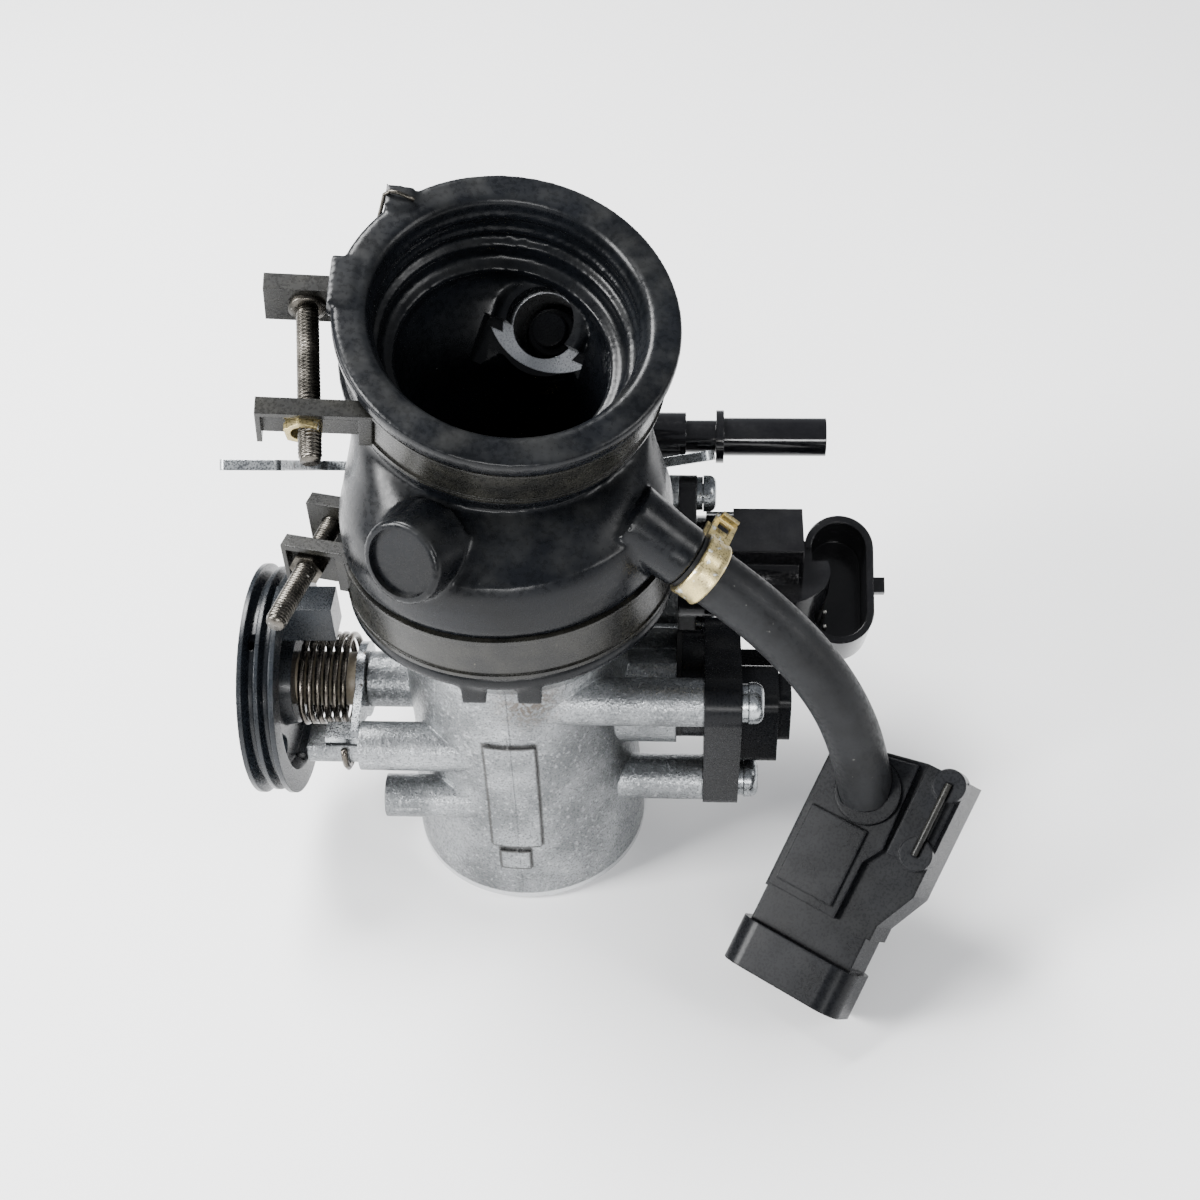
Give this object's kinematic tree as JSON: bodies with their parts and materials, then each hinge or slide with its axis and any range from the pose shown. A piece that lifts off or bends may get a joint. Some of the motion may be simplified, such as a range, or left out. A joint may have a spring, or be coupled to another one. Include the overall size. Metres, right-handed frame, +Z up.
{
  "type": "throttle body",
  "caption": "Motorcycle throttle body with cable drum, position sensor, idle valve, angled rubber intake joint, injector seat and a hose-mounted pressure sensor.",
  "frame": {"origin": "centre of the air inlet spigot's end face, on the bore axis", "axes": "+Z up the bore from the inlet spigot to the rubber joint, +X along the throttle shaft from the cable drum to the position sensor, -Y to the side with the data pad"},
  "size_m": [0.1437, 0.122, 0.1394],
  "materials": {
    "cast_aluminium": "as-cast grain with machined faces",
    "turned_aluminium": "machined",
    "brass_plate": "satin, fuel stained",
    "bright_steel": "plain steel wire and shaft",
    "zinc_steel": "clear zinc plate",
    "yellow_zinc_steel": "yellow zinc plate",
    "blackened_steel": "black oxide, dull",
    "intake_rubber": "moulded, dusty",
    "hose_rubber": "matt with scuffs",
    "seal_rubber": "smooth",
    "sensor_plastic": "fine grain, dusty",
    "drum_plastic": "satin",
    "fuel_plastic": "glossy",
    "bush_polymer": "smooth",
    "contact_metal": "tinned",
    "coil_winding": "enamelled winding"
  },
  "bodies": {
    "housing": {"throttle_housing": "cast_aluminium", "left_shaft_seal": "seal_rubber", "left_shaft_bush": "bush_polymer", "right_shaft_seal": "seal_rubber", "right_shaft_bush": "bush_polymer", "return_spring": "bright_steel", "tps_housing": "sensor_plastic", "tps_seal": "seal_rubber", "tps_terminals": "contact_metal", "tps_screws": "zinc_steel", "idle_valve_housing": "sensor_plastic", "idle_valve_terminals": "contact_metal", "idle_valve_coil": "coil_winding", "idle_valve_seal": "seal_rubber", "idle_valve_screws": "zinc_steel", "intake_joint": "intake_rubber", "lower_clamp_band": "blackened_steel", "upper_clamp_band": "blackened_steel", "lower_clamp_screw": "zinc_steel", "upper_clamp_screw": "zinc_steel", "lower_clamp_nut": "yellow_zinc_steel", "upper_clamp_nut": "yellow_zinc_steel", "hose_clip": "yellow_zinc_steel", "sensor_hose": "hose_rubber", "pressure_sensor_body": "sensor_plastic", "sensor_terminals": "contact_metal", "sensor_cover": "sensor_plastic", "sensor_retaining_pin": "blackened_steel", "injector_holder": "turned_aluminium", "injector_body": "sensor_plastic", "injector_seals": "seal_rubber", "fuel_joint": "fuel_plastic", "fuel_joint_bolt": "zinc_steel", "fuel_joint_spacer": "bright_steel", "cable_stay": "zinc_steel", "cable_stay_screws": "zinc_steel"},
    "throttle": {"throttle_shaft": "bright_steel", "throttle_plate": "brass_plate", "plate_screws": "zinc_steel", "cable_drum": "drum_plastic", "drum_washer": "zinc_steel", "drum_nut": "zinc_steel", "spring_sleeve": "bush_polymer", "stop_lever": "zinc_steel", "tps_rotor": "bush_polymer"},
    "idle_rotor": {"idle_valve_rotor": "bush_polymer"},
    "idle_pintle": {"idle_valve_pintle": "bright_steel"}
  },
  "joints": [
    {"name": "throttle_turn", "type": "hinge", "parent": "housing", "child": "throttle", "pos_m": [0, 0, 0.0404], "axis": [-1, 0, 0], "range_deg": [0, 80], "stiffness_Nm_per_rad": 0.06, "springref_deg": -45.84, "deforming": ["return_spring"]},
    {"name": "idle_valve_turn", "type": "hinge", "parent": "housing", "child": "idle_rotor", "pos_m": [0, 0.024, 0.05], "axis": [1, 0, 0], "range_deg": [-905, 905]},
    {"name": "idle_valve_travel", "type": "slide", "parent": "housing", "child": "idle_pintle", "axis": [-1, 0, 0], "range_m": [-0.0025, 0.0025]}
  ],
  "couplings": [
    {"joint": "idle_valve_turn", "follows": "idle_valve_travel", "rad_per_m": 6283.2}
  ]
}
